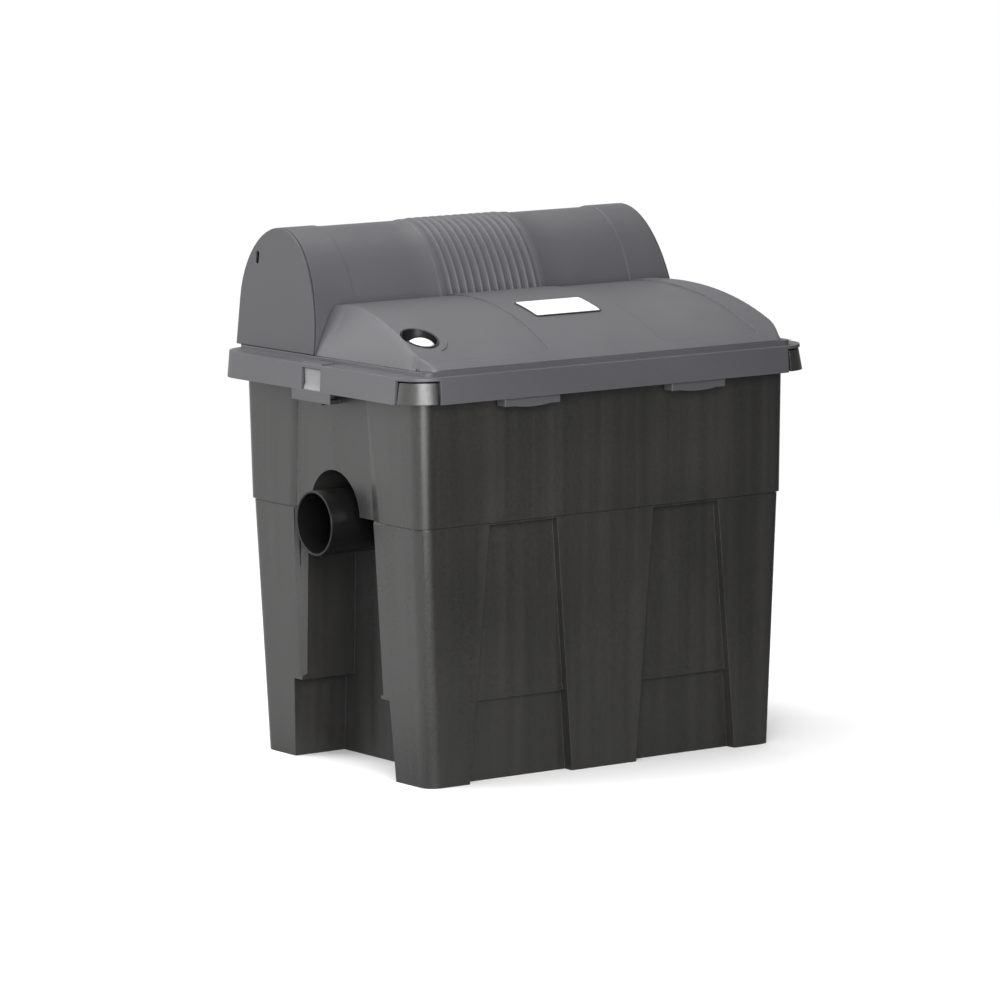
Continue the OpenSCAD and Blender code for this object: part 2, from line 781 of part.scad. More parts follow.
module rear_dome() {
    mid = 1;               // the middle lies this far below the two end bands
    color(charcoal) {
        intersection() {
            difference() {
                union() {
                    prism_x(dome_outline(mid), -dome_mid, dome_mid);
                    for (s = [-1, 1])
                        prism_x(dome_outline(0), s < 0 ? -180 : dome_mid, s < 0 ? -dome_mid : 180);
                    for (i = [0:rib_count - 1]) {
                        x = (i - (rib_count - 1) / 2) * rib_pitch;
                        prism_x(dome_outline(mid - 1.5), x - rib_pitch * 0.27, x + rib_pitch * 0.27);
                    }
                }
                prism_x(dome_outline(lid_t + mid), -200, 200);
            }
            between_ends(lid_t + 0.05);
        }
        for (x = [-hinge_x, hinge_x]) difference() {
            union() {
                rod_x(knuckle_r, x - 6.5, x + 6.5, hinge_z, hinge_y);
                block([x - 6.5, ridge_y + dome_back_a - 1.5, hinge_z - 1], [x + 6.5, hinge_y, hinge_z + knuckle_r]);
            }
            rod_x(hinge_pin_r + 0.05, x - 30, x + 30, hinge_z, hinge_y);
        }
    }
}

// End cap with a lock slot near the ridge; drawn for the left side
module dome_end_cap(m) {
    color(charcoal) mirror([m, 0, 0]) difference() {
        intersection() {
            prism_x(dome_outline(0), -200, -100);
            difference() {
                between_ends(0);
                between_ends(lid_t);
            }
        }
        block([-200, 106.7, 383.8], [-100, 111.3, 388.8]);
        for (z = [383.8, 388.8]) rod_x(2.3, -200, -100, z, 109);
    }
}

module dome_hinge_pins() {
    color("#8f9194") for (x = [-hinge_x, hinge_x])
        rod_x(hinge_pin_r, x - 17.2, x + 17.2, hinge_z, hinge_y);
}

tank();
outlet_pipe();
outlet_gasket();
outlet_lock_ring();
outlet_riser();
inlet_bulkhead();
inlet_gasket();
inlet_lock_ring();
inlet_hose_tail();
inlet_o_ring();
inlet_union_nut();
inlet_riser();
drain_spigot();
drain_gasket();
drain_lock_ring();
drain_cap();
drain_cap_seal();
support_grate();
partition_wall();
distributor_tray();
foam_coarse();
foam_fine();
foam_block(carts[0]);  // foam_block_left
foam_block(carts[1]);  // foam_block_middle
foam_block(carts[2]);  // foam_block_right
press_plate(carts[0]);  // press_plate_left
press_plate(carts[1]);  // press_plate_middle
press_plate(carts[2]);  // press_plate_right
pull_rod(carts[0]);  // pull_rod_left
pull_rod(carts[1]);  // pull_rod_middle
pull_rod(carts[2]);  // pull_rod_right
pull_handle(carts[0]);  // pull_handle_left
pull_handle(carts[1]);  // pull_handle_middle
pull_handle(carts[2]);  // pull_handle_right
rim_seal();
latch(0);  // latch_left
latch(1);  // latch_right
lid_deck();
grip_tabs();
front_hood();
hood_screws();
label_plate();
indicator_tube();
indicator_float();
rear_dome();
dome_end_cap(0);  // dome_end_cap_left
dome_end_cap(1);  // dome_end_cap_right
dome_hinge_pins();
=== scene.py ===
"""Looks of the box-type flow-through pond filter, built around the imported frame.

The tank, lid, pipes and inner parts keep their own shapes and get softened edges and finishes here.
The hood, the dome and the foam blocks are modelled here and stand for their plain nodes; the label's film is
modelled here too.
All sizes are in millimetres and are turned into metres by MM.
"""

import json
import math

import bmesh
import bpy
from mathutils import Matrix, Vector


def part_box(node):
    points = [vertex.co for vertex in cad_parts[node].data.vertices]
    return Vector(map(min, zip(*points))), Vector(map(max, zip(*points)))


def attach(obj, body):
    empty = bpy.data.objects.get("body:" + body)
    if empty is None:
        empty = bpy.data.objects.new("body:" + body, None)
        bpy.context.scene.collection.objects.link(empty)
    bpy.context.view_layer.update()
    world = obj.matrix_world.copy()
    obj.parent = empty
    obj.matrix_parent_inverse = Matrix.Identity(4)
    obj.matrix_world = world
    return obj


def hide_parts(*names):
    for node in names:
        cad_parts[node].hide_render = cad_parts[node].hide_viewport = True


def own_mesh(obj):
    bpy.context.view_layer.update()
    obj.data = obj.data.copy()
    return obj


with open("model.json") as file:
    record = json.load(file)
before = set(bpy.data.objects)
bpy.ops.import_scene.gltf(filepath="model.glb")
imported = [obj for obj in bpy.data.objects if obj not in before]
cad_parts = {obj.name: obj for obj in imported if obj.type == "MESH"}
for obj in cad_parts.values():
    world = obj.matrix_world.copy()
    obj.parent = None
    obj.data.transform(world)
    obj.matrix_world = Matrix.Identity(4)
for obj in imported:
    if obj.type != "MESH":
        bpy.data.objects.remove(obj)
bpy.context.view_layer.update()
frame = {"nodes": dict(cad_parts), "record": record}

MM = 0.001
POINT_GAP = 0.02 * MM
NODES = frame["nodes"]
RECORD = frame["record"]
SCENE = bpy.context.scene

# ---- Camera ----

CAMERA_YAW = 34.955
CAMERA_PITCH = 7.902
CAMERA_ROLL = -0.579
CAMERA_LENS = 215.36
CAMERA_AIM = Vector((-0.0108, 0.0066, 0.1942))
CAMERA_DISTANCE = 4.6605


def add_camera():
    data = bpy.data.cameras.new("view")
    data.lens = CAMERA_LENS
    data.sensor_width = 36
    data.clip_end = 50
    camera = bpy.data.objects.new("view", data)
    SCENE.collection.objects.link(camera)
    turn = (
        Matrix.Rotation(math.radians(-CAMERA_YAW), 4, "Z")
        @ Matrix.Rotation(math.radians(90 - CAMERA_PITCH), 4, "X")
        @ Matrix.Rotation(math.radians(CAMERA_ROLL), 4, "Z")
    )
    back = turn @ Vector((0, 0, CAMERA_DISTANCE))
    camera.matrix_world = Matrix.Translation(CAMERA_AIM + back) @ turn
    SCENE.camera = camera


# ---- Small helpers ----


def mm(x, y, z):
    return Vector((x, y, z)) * MM


def deselect_all():
    for other in list(bpy.context.selected_objects):
        other.select_set(False)


def select_only(piece):
    deselect_all()
    piece.select_set(True)
    bpy.context.view_layer.objects.active = piece


def settle(piece):
    """Puts the piece's place, turn and size into its mesh."""
    select_only(piece)
    bpy.ops.object.transform_apply(location=True, rotation=True, scale=True)
    return piece


def apply_modifiers(piece):
    select_only(piece)
    for modifier in list(piece.modifiers):
        bpy.ops.object.modifier_apply(modifier=modifier.name)


def outward(piece):
    """Joins points that fall together and turns all faces outward."""
    select_only(piece)
    bpy.ops.object.mode_set(mode="EDIT")
    bpy.ops.mesh.select_all(action="SELECT")
    bpy.ops.mesh.remove_doubles(threshold=POINT_GAP)
    bpy.ops.mesh.normals_make_consistent(inside=False)
    bpy.ops.object.mode_set(mode="OBJECT")


def smooth(piece, angle=30):
    select_only(piece)
    bpy.ops.object.shade_smooth_by_angle(angle=math.radians(angle))


def piece_from(name, points, faces):
    mesh = bpy.data.meshes.new(name)
    mesh.from_pydata(points, [], faces)
    piece = bpy.data.objects.new(name, mesh)
    SCENE.collection.objects.link(piece)
    return piece


def boolean(piece, tool, operation):
    """Cuts or adds the tool and removes it."""
    modifier = piece.modifiers.new("cut", "BOOLEAN")
    modifier.operation = operation
    modifier.solver = "EXACT"
    modifier.object = tool
    select_only(piece)
    bpy.ops.object.modifier_apply(modifier=modifier.name)
    bpy.data.objects.remove(tool, do_unlink=True)


def cylinder(name, radius, depth, centre, turn=(0, 0, 0), sides=64):
    deselect_all()
    bpy.ops.mesh.primitive_cylinder_add(
        vertices=sides, radius=radius * MM, depth=depth * MM, location=mm(*centre), rotation=turn
    )
    piece = bpy.context.active_object
    piece.name = name
    return settle(piece)


def box_piece(name, low, high):
    deselect_all()
    centre = [(a + b) / 2 for a, b in zip(low, high)]
    bpy.ops.mesh.primitive_cube_add(size=1, location=mm(*centre))
    piece = bpy.context.active_object
    piece.name = name
    piece.scale = mm(*[b - a for a, b in zip(low, high)])
    return settle(piece)


def bevel(piece, width, segments=2, angle=35, clamp=True):
    modifier = piece.modifiers.new("rounded edges", "BEVEL")
    modifier.width = width * MM
    modifier.segments = segments
    modifier.limit_method = "ANGLE"
    modifier.angle_limit = math.radians(angle)
    modifier.use_clamp_overlap = clamp
    modifier.miter_outer = "MITER_ARC"
    return modifier


def dress(piece, body, slot, material, *nodes):
    """Gives a piece its finish and body, and hides the plain nodes it stands for."""
    piece.data.materials.clear()
    piece.data.materials.append(material)
    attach(piece, body)
    if nodes:
        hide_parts(*nodes)
    return piece


# ---- Finishes ----


def node_group(name, inputs, outputs):
    """A shader node group with float or colour sockets: (name, kind, value)."""
    group = bpy.data.node_groups.new(name, "ShaderNodeTree")
    for label, kind, value in inputs:
        socket = group.interface.new_socket(label, in_out="INPUT", socket_type=kind)
        socket.default_value = value
    for label, kind in outputs:
        group.interface.new_socket(label, in_out="OUTPUT", socket_type=kind)
    return group, group.nodes.new("NodeGroupInput"), group.nodes.new("NodeGroupOutput")


def noise(tree, place, scale, detail=3.0, roughness=0.5):
    node = tree.nodes.new("ShaderNodeTexNoise")
    node.inputs["Detail"].default_value = detail
    node.inputs["Roughness"].default_value = roughness
    tree.links.new(place, node.inputs["Vector"])
    if isinstance(scale, (int, float)):
        node.inputs["Scale"].default_value = scale
    else:
        tree.links.new(scale, node.inputs["Scale"])
    return node.outputs["Fac"]


def math_node(tree, operation, a, b):
    node = tree.nodes.new("ShaderNodeMath")
    node.operation = operation
    for socket, value in zip(node.inputs, (a, b)):
        if isinstance(value, (int, float)):
            socket.default_value = value
        else:
            tree.links.new(value, socket)
    return node.outputs[0]


def spread(tree, value, low, high, to_low, to_high):
    node = tree.nodes.new("ShaderNodeMapRange")
    node.clamp = True
    limits = (("From Min", low), ("From Max", high), ("To Min", to_low), ("To Max", to_high))
    for label, number in limits:
        if isinstance(number, (int, float)):
            node.inputs[label].default_value = number
        else:
            tree.links.new(number, node.inputs[label])
    tree.links.new(value, node.inputs["Value"])
    return node.outputs["Result"]


def mix_colour(tree, share, first, second):
    node = tree.nodes.new("ShaderNodeMix")
    node.data_type = "RGBA"
    for socket, value in ((node.inputs[0], share), (node.inputs[6], first), (node.inputs[7], second)):
        if isinstance(value, (int, float, tuple)):
            socket.default_value = value
        else:
            tree.links.new(value, socket)
    return node.outputs[2]


def bump(tree, height, strength, distance):
    node = tree.nodes.new("ShaderNodeBump")
    tree.links.new(height, node.inputs["Height"])
    for label, value in (("Strength", strength), ("Distance", distance)):
        if isinstance(value, (int, float)):
            node.inputs[label].default_value = value
        else:
            tree.links.new(value, node.inputs[label])
    return node


def object_place(tree, stretch=(1, 1, 1)):
    place = tree.nodes.new("ShaderNodeTexCoord").outputs["Object"]
    if stretch == (1, 1, 1):
        return place
    mapping = tree.nodes.new("ShaderNodeMapping")
    mapping.inputs["Scale"].default_value = stretch
    tree.links.new(place, mapping.inputs["Vector"])
    return mapping.outputs["Vector"]


def build_grain_group():
    """The fine spark-eroded grain of a mould: a bumped normal and a mottle value."""
    group, given, result = node_group(
        "moulded_grain",
        [("Fineness", "NodeSocketFloat", 1400.0), ("Depth", "NodeSocketFloat", 0.25),
         ("Edge Radius", "NodeSocketFloat", 0.0006)],
        [("Normal", "NodeSocketVector"), ("Mottle", "NodeSocketFloat")],
    )
    place = object_place(group)
    grain = noise(group, place, given.outputs["Fineness"], 4, 0.6)
    coarse = noise(group, place, 160, 2, 0.5)
    height = math_node(group, "ADD", grain, math_node(group, "MULTIPLY", coarse, 0.35))
    bumped = bump(group, height, given.outputs["Depth"], 0.0004)
    rounded = group.nodes.new("ShaderNodeBevel")
    rounded.samples = 4
    group.links.new(given.outputs["Edge Radius"], rounded.inputs["Radius"])
    group.links.new(rounded.outputs[0], bumped.inputs["Normal"])
    group.links.new(bumped.outputs[0], result.inputs["Normal"])
    mottle = math_node(group, "MULTIPLY", noise(group, place, 9, 3, 0.5), grain)
    group.links.new(mottle, result.inputs["Mottle"])
    return group


def build_streak_group():
    """Faint upright flow lines of a tall moulding."""
    group, given, result = node_group(
        "flow_streaks",
        [("Spacing", "NodeSocketFloat", 90.0)],
        [("Streak", "NodeSocketFloat"), ("Cloud", "NodeSocketFloat")],
    )
    lines = object_place(group, (1, 1, 0.02))
    group.links.new(noise(group, lines, given.outputs["Spacing"], 3, 0.5), result.inputs["Streak"])
    soft = object_place(group, (1, 1, 0.3))
    group.links.new(noise(group, soft, 7, 2, 0.5), result.inputs["Cloud"])
    return group


def build_edge_highlight_group():
    """A mask that is 1 on the outer edges of a piece, broken up by noise: partly rubbed wear, partly a
    painted edge highlight.
    """
    group, given, result = node_group(
        "rubbed_edges_and_painted_highlight",
        [("Width", "NodeSocketFloat", 0.0009)],
        [("Edge", "NodeSocketFloat")],
    )
    rounded = group.nodes.new("ShaderNodeBevel")
    rounded.samples = 4
    group.links.new(given.outputs["Width"], rounded.inputs["Radius"])
    true_normal = group.nodes.new("ShaderNodeNewGeometry").outputs["True Normal"]
    dot = group.nodes.new("ShaderNodeVectorMath")
    dot.operation = "DOT_PRODUCT"
    group.links.new(rounded.outputs[0], dot.inputs[0])
    group.links.new(true_normal, dot.inputs[1])
    edge = spread(group, dot.outputs["Value"], 0.985, 0.80, 0.0, 1.0)
    broken = spread(group, noise(group, object_place(group), 60, 4, 0.6), 0.35, 0.65, 0.25, 1.0)
    group.links.new(math_node(group, "MULTIPLY", edge, broken), result.inputs["Edge"])
    return group


def build_dust_group():
    """A little pale dust on faces that look up."""
    group, given, result = node_group(
        "settled_dust",
        [("Amount", "NodeSocketFloat", 0.1)],
        [("Dust", "NodeSocketFloat")],
    )
    normal = group.nodes.new("ShaderNodeNewGeometry").outputs["Normal"]
    parts = group.nodes.new("ShaderNodeSeparateXYZ")
    group.links.new(normal, parts.inputs[0])
    upward = spread(group, parts.outputs["Z"], 0.55, 1.0, 0.0, 1.0)
    patch = spread(group, noise(group, object_place(group), 25, 5, 0.6), 0.4, 0.75, 0.2, 1.0)
    dust = math_node(group, "MULTIPLY", math_node(group, "MULTIPLY", upward, patch), given.outputs["Amount"])
    group.links.new(dust, result.inputs["Dust"])
    return group


# how far the painted edge highlight (partly rubbed wear) lightens the outer edges
EDGE_HIGHLIGHT_SHARE = 0.35
STREAK_LIFT = 1.7
DUST_COLOUR = (0.36, 0.34, 0.31, 1)
GRAIN = build_grain_group()
STREAKS = build_streak_group()
EDGES = build_edge_highlight_group()
DUST = build_dust_group()


def use_group(tree, group, **values):
    node = tree.nodes.new("ShaderNodeGroup")
    node.node_tree = group
    for label, value in values.items():
        node.inputs[label].default_value = value
    return node


def new_material(name):
    material = bpy.data.materials.new(name)
    material.use_nodes = True
    tree = material.node_tree
    return material, tree, tree.nodes["Principled BSDF"]


def plastic(name, dark, light, roughness, grain_depth, fineness=1400.0, edge_highlight_colour=None, streak=0.0,
            dust=0.05, specular=0.5):
    """Moulded plastic: mottled colour, grain, rubbed edges with a painted highlight, dust and, on tall
    walls, flow streaks.
    """
    material, tree, shader = new_material(name)
    shader.inputs["Specular IOR Level"].default_value = specular
    grain = use_group(tree, GRAIN, Fineness=fineness, Depth=grain_depth)
    colour = mix_colour(tree, spread(tree, grain.outputs["Mottle"], 0.15, 0.4, 0.0, 1.0), dark, light)
    rough = spread(tree, grain.outputs["Mottle"], 0.15, 0.4, roughness - 0.04, roughness + 0.04)
    if streak:
        lines = use_group(tree, STREAKS)
        share = spread(tree, lines.outputs["Streak"], 0.35, 0.65, 0.0, streak)
        pale = tuple(min(1.0, c * STREAK_LIFT) for c in light[:3]) + (1,)
        colour = mix_colour(tree, share, colour, pale)
        wear = spread(tree, lines.outputs["Streak"], 0.3, 0.7, -0.05, 0.06)
        rough = math_node(tree, "ADD", rough, wear)
        cloud = spread(tree, lines.outputs["Cloud"], 0.35, 0.65, -0.03, 0.03)
        rough = math_node(tree, "ADD", rough, cloud)
    # painted highlight: the outer edges are mixed towards a lighter colour, partly standing for rubbed wear
    if edge_highlight_colour:
        edges = use_group(tree, EDGES)
        share = math_node(tree, "MULTIPLY", edges.outputs["Edge"], EDGE_HIGHLIGHT_SHARE)
        colour = mix_colour(tree, share, colour, edge_highlight_colour)
    if dust:
        settled = use_group(tree, DUST, Amount=dust)
        colour = mix_colour(tree, settled.outputs["Dust"], colour, DUST_COLOUR)
        rough = math_node(tree, "ADD", rough, settled.outputs["Dust"])
    tree.links.new(colour, shader.inputs["Base Color"])
    tree.links.new(rough, shader.inputs["Roughness"])
    tree.links.new(grain.outputs["Normal"], shader.inputs["Normal"])
    return material


def foam_material(name, dark, light, cells):
    """Open-cell foam: bright struts around dark pores, whose darkness is painted shade."""
    material, tree, shader = new_material(name)
    shader.inputs["Sheen Weight"].default_value = 0.3
    place = object_place(tree)
    pores = tree.nodes.new("ShaderNodeTexVoronoi")
    pores.feature = "F1"
    pores.inputs["Scale"].default_value = cells
    tree.links.new(place, pores.inputs["Vector"])
    # painted shade: the pores are mixed towards the dark colour, the struts towards the light one
    strut = spread(tree, pores.outputs["Distance"], 0.15, 0.55, 0.0, 1.0)
    shade = mix_colour(tree, strut, dark, light)
    tint = spread(tree, noise(tree, place, 30, 4, 0.6), 0.3, 0.7, 0.0, 0.35)
    tree.links.new(mix_colour(tree, tint, shade, dark), shader.inputs["Base Color"])
    tree.links.new(spread(tree, strut, 0.0, 1.0, 0.95, 0.75), shader.inputs["Roughness"])
    tree.links.new(bump(tree, strut, 0.9, 0.0015).outputs[0], shader.inputs["Normal"])
    return material


def steel_material():
    material, tree, shader = new_material("plain_steel")
    shader.inputs["Metallic"].default_value = 1.0
    lines = noise(tree, object_place(tree, (1, 12, 12)), 300, 4, 0.6)
    tree.links.new(mix_colour(tree, lines, (0.42, 0.42, 0.43, 1), (0.68, 0.68, 0.69, 1)),
                   shader.inputs["Base Color"])
    tree.links.new(spread(tree, lines, 0.3, 0.7, 0.28, 0.42), shader.inputs["Roughness"])
    return material


def build_materials():
    return {
        "lid_grey": plastic(
            "anthracite_grain", (0.068, 0.066, 0.073, 1), (0.084, 0.082, 0.089, 1), 0.46, 0.30, 1500,
            (0.24, 0.235, 0.25, 1), dust=0.04),
        # painted shade: the dome's end caps get a darker copy of the lid grey
        "end_cap_grey": plastic(
            "end_cap_painted_shade_grain", (0.042, 0.040, 0.046, 1), (0.053, 0.051, 0.057, 1), 0.48, 0.30, 1500,
            (0.20, 0.195, 0.21, 1), dust=0.02),
        # painted light: the latches get a lighter, glossier copy of the lid grey
        "latch_grey": plastic(
            "latch_painted_light_grey", (0.19, 0.19, 0.20, 1), (0.23, 0.23, 0.24, 1), 0.36, 0.20, 1500,
            (0.34, 0.34, 0.36, 1), dust=0.02),
        "tank_black": plastic(
            "dark_tank_moulding", (0.018, 0.0173, 0.0168, 1), (0.026, 0.0248, 0.0240, 1), 0.35, 0.02, 400,
            (0.12, 0.12, 0.12, 1), streak=0.22, dust=0.04, specular=0.85),
        "pipe_black": plastic(
            "smooth_black_pipe", (0.0045, 0.0045, 0.005, 1), (0.007, 0.007, 0.0075, 1), 0.34, 0.05, 900,
            (0.22, 0.22, 0.22, 1), dust=0.02, specular=0.28),
        "inner_grey": plastic(
            "inner_moulding", (0.050, 0.050, 0.053, 1), (0.068, 0.068, 0.071, 1), 0.48, 0.18, 1100,
            (0.16, 0.16, 0.17, 1)),
        "rubber_black": plastic(
            "soft_seal_rubber", (0.012, 0.012, 0.012, 1), (0.02, 0.02, 0.02, 1), 0.72, 0.25, 1800,
            dust=0.03, specular=0.35),
        "handle_blue": plastic(
            "blue_handle", (0.018, 0.07, 0.22, 1), (0.028, 0.095, 0.28, 1), 0.36, 0.12, 1300,
            (0.10, 0.22, 0.46, 1)),
        "label_white": plastic(
            "printed_label", (0.80, 0.80, 0.79, 1), (0.86, 0.86, 0.85, 1), 0.30, 0.03, 600, dust=0.0),
        "float_white": plastic(
            "white_float", (0.82, 0.82, 0.80, 1), (0.90, 0.90, 0.88, 1), 0.28, 0.03, 700, dust=0.03),
        "foam_blue": foam_material("coarse_blue_foam", (0.012, 0.035, 0.10, 1), (0.06, 0.17, 0.42, 1), 420),
        "foam_red": foam_material("fine_red_foam", (0.09, 0.012, 0.010, 1), (0.42, 0.07, 0.05, 1), 650),
        "steel": steel_material(),
    }


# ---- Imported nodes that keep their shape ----

SHADED_EDGES = ("tank", "lid_deck")
# The end caps take a darker copy of the lid grey as painted shade, the latches a lighter one as painted
# light.
OWN_FINISH = {"label_plate": "pipe_black", "dome_end_cap_left": "end_cap_grey",
              "dome_end_cap_right": "end_cap_grey", "latch_left": "latch_grey", "latch_right": "latch_grey"}
EDGE_WIDTHS = {"dome_end_cap_left": 0.7, "dome_end_cap_right": 0.7,
               "latch_left": 0.3, "latch_right": 0.3, "grip_tabs": 0.6, "outlet_pipe": 0.4,
               "label_plate": 0.2}
FINE_EDGE = 0.3
ROUND_ANGLE = 32
JOIN_GAP = 0.03
CRISP_ANGLE = 26
SURFACE_TURN = 0.4


def finish_nodes(materials):
    """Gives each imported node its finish. The two large mouldings get crisp edges, which their finish
    rounds in shading; the others get rounded edges."""
    slots = {part["node"]: part["material_slot"] for part in RECORD["subparts"]}
    for name, node in NODES.items():
        node.data.materials.clear()
        node.data.materials.append(materials[OWN_FINISH.get(name, slots[name])])
        weld = node.modifiers.new("joined corners", "WELD")
        weld.merge_threshold = JOIN_GAP * MM
        if name in SHADED_EDGES:
            split = node.modifiers.new("crisp edges", "EDGE_SPLIT")
            split.split_angle = math.radians(CRISP_ANGLE)
            split.use_edge_sharp = False
        else:
            flat = node.modifiers.new("whole faces", "DECIMATE")
            flat.decimate_type = "DISSOLVE"
            flat.angle_limit = math.radians(SURFACE_TURN)
            bevel(node, EDGE_WIDTHS.get(name, FINE_EDGE), angle=ROUND_ANGLE,
                  clamp=name not in EDGE_WIDTHS)
        normals = node.modifiers.new("even shading", "WEIGHTED_NORMAL")
        normals.weight = 60


# ---- Dome ----

DECK_Z = 318.0
DOME_FOOT_Z = 318.3
RIDGE_Y = 81
DOME_FRONT = 60
DOME_BACK = 48
DOME_BACK_Z = 355
DOME_TOP = 411
DOME_END_FOOT = 174
DOME_END_TOP = 163.5
DOME_MID = 131
LID_T = 2.4
CAP_GAP = 0.05
RIB_PITCH = 7.25
RIB_COUNT = 12
RIB_BAND = 7
RIB_STEPS = 14
RIB_FLOOR = -1.3
RIB_RISE = 1.7


def dome_profile():
    """Points (y, z) and outward normals (ny, nz) round the dome, from its front foot to its back foot."""
    rows = []
    rise = DOME_TOP - DECK_Z
    for i in range(49):
        a = math.radians(90 * i / 48)
        ny, nz = -math.cos(a) / DOME_FRONT, math.sin(a) / rise
        size = math.hypot(ny, nz)
        z = max(DOME_FOOT_Z, DECK_Z + rise * math.sin(a))
        rows.append((RIDGE_Y - DOME_FRONT * math.cos(a), z, ny / size, nz / size))
    drop = DOME_TOP - DOME_BACK_Z
    for i in range(1, 37):
        a = math.radians(90 * i / 36)
        ny, nz = math.sin(a) / DOME_BACK, math.cos(a) / drop
        size = math.hypot(ny, nz)
        z = DOME_BACK_Z + drop * math.cos(a)
        rows.append((RIDGE_Y + DOME_BACK * math.sin(a), z, ny / size, nz / size))
    rows.append((RIDGE_Y + DOME_BACK, DOME_FOOT_Z, 1, 0))
    return rows


def rib_height(x):
    """How far the ribbed middle stands off the dome's end bands at x: narrow grooves, broad ribs."""
    half = RIB_COUNT * RIB_PITCH / 2
    wave = max(0.0, -math.cos(2 * math.pi * (x + half) / RIB_PITCH) + 0.15) / 1.15
    return RIB_FLOOR + RIB_RISE * wave ** 0.55


def dome_stations():
    """Places along X where the dome's section is drawn: (x, height)."""
    half = RIB_COUNT * RIB_PITCH / 2
    edge = half + RIB_BAND
    steps = RIB_COUNT * RIB_STEPS
    ribs = [-half + 2 * half * i / steps for i in range(steps + 1)]
    side = [(half + 0.5, RIB_FLOOR), (half + 1.0, -0.25), (half + 1.4, -0.2), (edge - 0.5, -0.2),
            (edge - 0.2, -0.3), (edge, -0.9), (edge + 0.3, -1.0), (72, -1.0), (100, -1.0),
            (DOME_MID - 0.8, -1.0), (DOME_MID - 0.1, -1.0), (DOME_MID + 0.1, 0.0),
            (DOME_MID + 0.8, 0.0), (150, 0.0)]
    left = [(-x, h) for x, h in reversed(side)]
    return left + [(x, rib_height(x)) for x in ribs] + side


def dome_end(z):
    """Half the shell's length at z, just inside the leaning end caps."""
    share = (z - DECK_Z) / (DOME_TOP - DECK_Z)
    return DOME_END_FOOT - (DOME_END_FOOT - DOME_END_TOP) * share - LID_T - CAP_GAP


def build_dome(material):
    profile = dome_profile()
    stations = dome_stations()
    columns = len(stations) + 2
    points = []
    for y, z, ny, nz in profile:
        end = dome_end(z)
        row = [(-end, 0.0)] + stations + [(end, 0.0)]
        for x, h in row:
            points.append(mm(x, y + ny * h, max(DOME_FOOT_Z, z + nz * h)))
    faces = []
    for r in range(len(profile) - 1):
        for c in range(columns - 1):
            a = r * columns + c
            faces.append((a, a + 1, a + columns + 1, a + columns))
    shell = piece_from("dome_shell", points, faces)
    outward(shell)
    if shell.data.polygons[len(faces) // 2].normal.z < 0:
        shell.data.flip_normals()
    wall = shell.modifiers.new("wall", "SOLIDIFY")
    wall.thickness = LID_T * MM
    wall.offset = -1
    apply_modifiers(shell)
    smooth(shell, 40)
    return dress(shell, "dome", "lid_grey", material, "rear_dome")


HINGE_Y = 133.4
HINGE_Z = 320.2
HINGE_X = 105
KNUCKLE_R = 3.4
KNUCKLE_HALF = 6.5
PIN_BORE = 1.65


def build_dome_knuckles(material):
    for side, x in (("left", -HINGE_X), ("right", HINGE_X)):
        across = (0, math.pi / 2, 0)
        eye = cylinder("eye", KNUCKLE_R, 2 * KNUCKLE_HALF, (x, HINGE_Y, HINGE_Z), across, 40)
        web = box_piece("web", (x - KNUCKLE_HALF, RIDGE_Y + DOME_BACK - 1, HINGE_Z - 1),
                        (x + KNUCKLE_HALF, HINGE_Y, HINGE_Z + KNUCKLE_R))
        boolean(eye, web, "UNION")
        bore = cylinder("bore", PIN_BORE, 20, (x, HINGE_Y, HINGE_Z), across, 32)
        boolean(eye, bore, "DIFFERENCE")
        eye.name = "dome_knuckle_" + side
        bevel(eye, 0.4)
        apply_modifiers(eye)
        smooth(eye)
        dress(eye, "dome", "lid_grey", material)


# ---- Hood ----

HOOD_R = 234
HOOD_AXIS_Z = 123.5
HOOD_HALF = 172.5
HOOD_FRONT = -128.6
HOOD_BACK = 33
HOOD_CORNER = 25
HOOD_SOFT = 8.0
HOOD_EDGE_Z = DECK_Z + 0.15
HOOD_PANEL_DEPTH = 1.0
COARSE_STEP = 6.9
COARSE_COUNT = 21
FINE_STEP = 0.8625
FINE_COUNT = 41
HOOD_ROWS = 84
END_REACH_BACK = 20.0
END_REACH_FRONT = 2.0
END_BACK_Y = 5.0
END_TAPER = 1.4
END_BULGE = 0.8
WELL = (-149, -88)
WELL_R = 14.7


def soft_min(a, b, reach):
    """The lower of two heights, blended where they come within reach of each other."""
    share = max(0.0, min(1.0, 0.5 + 0.5 * (b - a) / reach))
    return b * (1 - share) + a * share - reach * share * (1 - share)


def hood_height(x, y, inset):
    """Height of the hood's surface, drawn in by inset: a curved top that runs softly into leaning ends."""
    top = HOOD_AXIS_Z + math.sqrt((HOOD_R - inset) ** 2 - y * y)
    across = max(abs(x) - (HOOD_HALF - HOOD_CORNER), 0) / HOOD_CORNER
    along = max(HOOD_FRONT + HOOD_CORNER - y, 0) / HOOD_CORNER
    pull = across * across * (3 - 2 * across)
    room = HOOD_CORNER * (1 - math.sqrt(across ** 2 + pull * along ** 2)) - inset
    if room <= 0:
        return HOOD_EDGE_Z
    rise = top - DECK_Z
    share = max(0.0, min(1.0, (END_BACK_Y - y) / (END_BACK_Y - HOOD_FRONT)))
    reach = END_REACH_FRONT + (END_REACH_BACK - END_REACH_FRONT) * (1 - share) ** END_TAPER
    end = DECK_Z + rise * (room / reach) ** END_BULGE
    soft = HOOD_SOFT * (1 - 0.7 * share)
    return max(soft_min(top, end, soft), HOOD_EDGE_Z)


